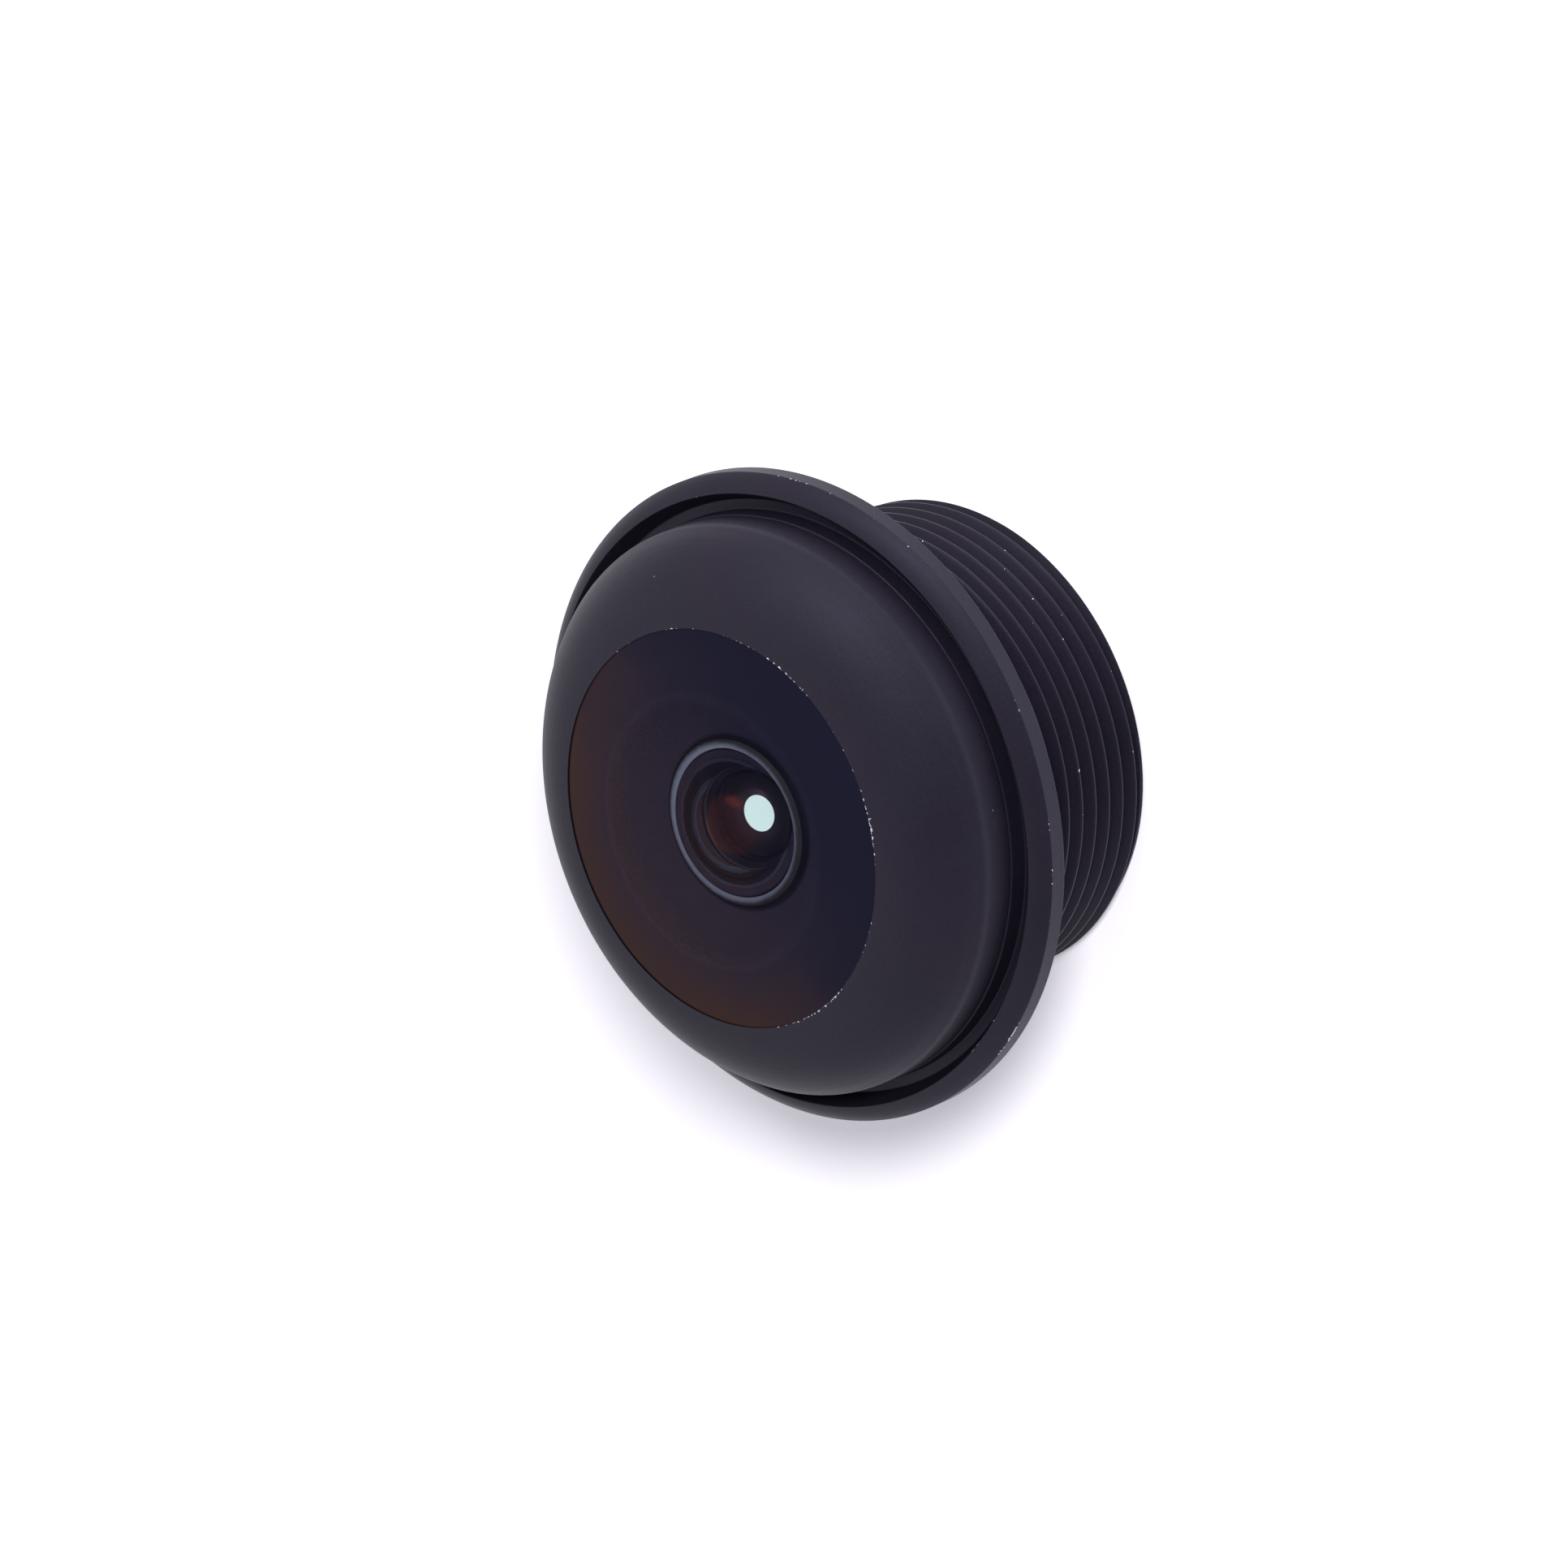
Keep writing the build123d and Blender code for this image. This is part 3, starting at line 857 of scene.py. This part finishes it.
ring_mesh.set_sharp_from_angle(angle=math.radians(35))
dress(slotted_ring, "inner_black", "slotted_ring")

# Camera: where the photograph was taken from, for an aperture centre at the top of the cap. The
# part stands upright here, so the camera is rolled to lay it on its side as the photograph does.
camera_offset = Vector((0.435, -224.63, 214.01)) * mm
camera_elevation = 43.955
camera_roll = -111.84
photo_width = 1932
focal_pixels = 15774.8
sensor_width = 36.0

camera_data = bpy.data.cameras.new("camera")
camera = bpy.data.objects.new("camera", camera_data)
bpy.context.scene.collection.objects.link(camera)
camera_data.sensor_width = sensor_width
camera_data.lens = focal_pixels / photo_width * sensor_width
camera_data.clip_start, camera_data.clip_end = 0.01, 5.0
camera.location = Vector((0, 0, top_z * mm)) + camera_offset
camera.rotation_euler = (
    Matrix.Rotation(math.radians(90 - camera_elevation), 3, "X")
    @ Matrix.Rotation(math.radians(camera_roll), 3, "Z")
).to_euler()
bpy.context.scene.camera = camera

# Table and light: a white table in a white tent, darker behind the camera. One soft lamp at the
# camera throws the shadow to the foot of the picture, and a second one shows as a streak on the dome.
table_size = 3.0
table_gap = 0.01
table_glow = 0.27
far_glow = 0.6
diffuse_loss = 0.48

table_mesh = bpy.data.meshes.new("white_table")
half, level = table_size / 2, -table_gap * mm
table_mesh.from_pydata(
    [(-half, -half, level), (half, -half, level), (half, half, level), (-half, half, level)],
    [], [(0, 1, 2, 3)],
)
table_white, tree, output = new_material("white table")
rays = add_node(tree, "ShaderNodeLightPath").outputs
direct = maths(tree, "MAXIMUM", rays["Is Camera Ray"], rays["Is Glossy Ray"])
place = add_node(tree, "ShaderNodeTexCoord").outputs["Object"]
far_away = add_node(
    tree, "ShaderNodeMapRange",
    {"Value": axis_distance(tree, place)[0], "From Min": 30.0, "From Max": 220.0, "To Max": far_glow},
).outputs[0]
glow_strength = maths(
    tree, "ADD",
    maths(tree, "MULTIPLY", direct, table_glow), maths(tree, "MULTIPLY", rays["Is Camera Ray"], far_away),
)
matt = add_node(tree, "ShaderNodeBsdfDiffuse", {"Color": linear("#F2F0F6")}).outputs[0]
glow = add_node(
    tree, "ShaderNodeEmission",
    {"Color": linear("#F1EDFF"), "Strength": glow_strength},
).outputs[0]
lit = add_node(tree, "ShaderNodeAddShader", {0: matt, 1: glow}).outputs[0]
white = add_node(tree, "ShaderNodeEmission", {"Strength": 1.0}).outputs[0]
mixed = add_node(
    tree, "ShaderNodeMixShader", {0: rays["Is Transmission Ray"], 1: lit, 2: white}
).outputs[0]
tree.links.new(mixed, output.inputs["Surface"])
table_mesh.materials.append(table_white)
table = bpy.data.objects.new("white_table", table_mesh)
bpy.context.scene.collection.objects.link(table)

world = bpy.data.worlds.new("white tent")
bpy.context.scene.world = world
world.use_nodes = True
world.node_tree.nodes.clear()
tree = world.node_tree
output = tree.nodes.new("ShaderNodeOutputWorld")
direction = add_node(tree, "ShaderNodeTexCoord").outputs["Generated"]
dark_side = Vector((-0.45, -1, 1.1)).normalized()
facing = add_node(
    tree, "ShaderNodeVectorMath", {0: direction, 1: tuple(dark_side)}, operation="DOT_PRODUCT"
).outputs["Value"]
tent_light = add_node(
    tree, "ShaderNodeMapRange",
    {"Value": facing, "From Min": 0.45, "From Max": 0.92, "To Min": 1.2, "To Max": 0.5},
    interpolation_type="SMOOTHSTEP",
).outputs[0]
skirt = add_node(
    tree, "ShaderNodeMapRange",
    {
        "Value": add_node(tree, "ShaderNodeSeparateXYZ", {0: direction}).outputs["Z"],
        "From Min": 0.0, "From Max": 0.5, "To Min": 0.4, "To Max": 1.0,
    },
).outputs[0]
tent_light = maths(tree, "MULTIPLY", tent_light, skirt)
rays = add_node(tree, "ShaderNodeLightPath").outputs
seen = maths(tree, "MAXIMUM", rays["Is Camera Ray"], rays["Is Transmission Ray"])
tent_light = maths(
    tree, "MULTIPLY", tent_light,
    maths(tree, "SUBTRACT", 1.0, maths(tree, "MULTIPLY", rays["Is Diffuse Ray"], diffuse_loss)),
)
strength = maths(
    tree, "ADD", maths(tree, "MULTIPLY", tent_light, maths(tree, "SUBTRACT", 1.0, seen)), seen
)
background = add_node(tree, "ShaderNodeBackground", {"Strength": strength}).outputs[0]
tree.links.new(background, output.inputs["Surface"])


def soft_lamp(name, azimuth, elevation, distance, size, radiance):
    """An oval lamp that faces the part from a direction in degrees. Its power in watts is radiance
    times pi times its area, and its size is in metres."""
    lamp_data = bpy.data.lights.new(name, "AREA")
    lamp_data.shape = "ELLIPSE"
    lamp_data.size, lamp_data.size_y = size
    lamp_data.energy = radiance * math.pi * (math.pi / 4 * size[0] * size[1])
    lamp = bpy.data.objects.new(name, lamp_data)
    bpy.context.scene.collection.objects.link(lamp)
    turn, rise = math.radians(azimuth), math.radians(elevation)
    outward = Vector(
        (math.cos(turn) * math.cos(rise), math.sin(turn) * math.cos(rise), math.sin(rise))
    )
    lamp.location = outward * distance
    lamp.rotation_mode = "QUATERNION"
    lamp.rotation_quaternion = outward.to_track_quat("Z", "Y")
    return lamp


soft_lamp("streak lamp", -34.0, 34.0, 0.12, (0.085, 0.068), 3.2)
shadow_lamp = soft_lamp("shadow lamp", -82.0, 42.0, 0.25, (0.050, 0.050), 104.0)
shadow_lamp.visible_glossy = False
shadow_lamp.visible_transmission = False

bpy.context.scene.view_settings.view_transform = "Standard"
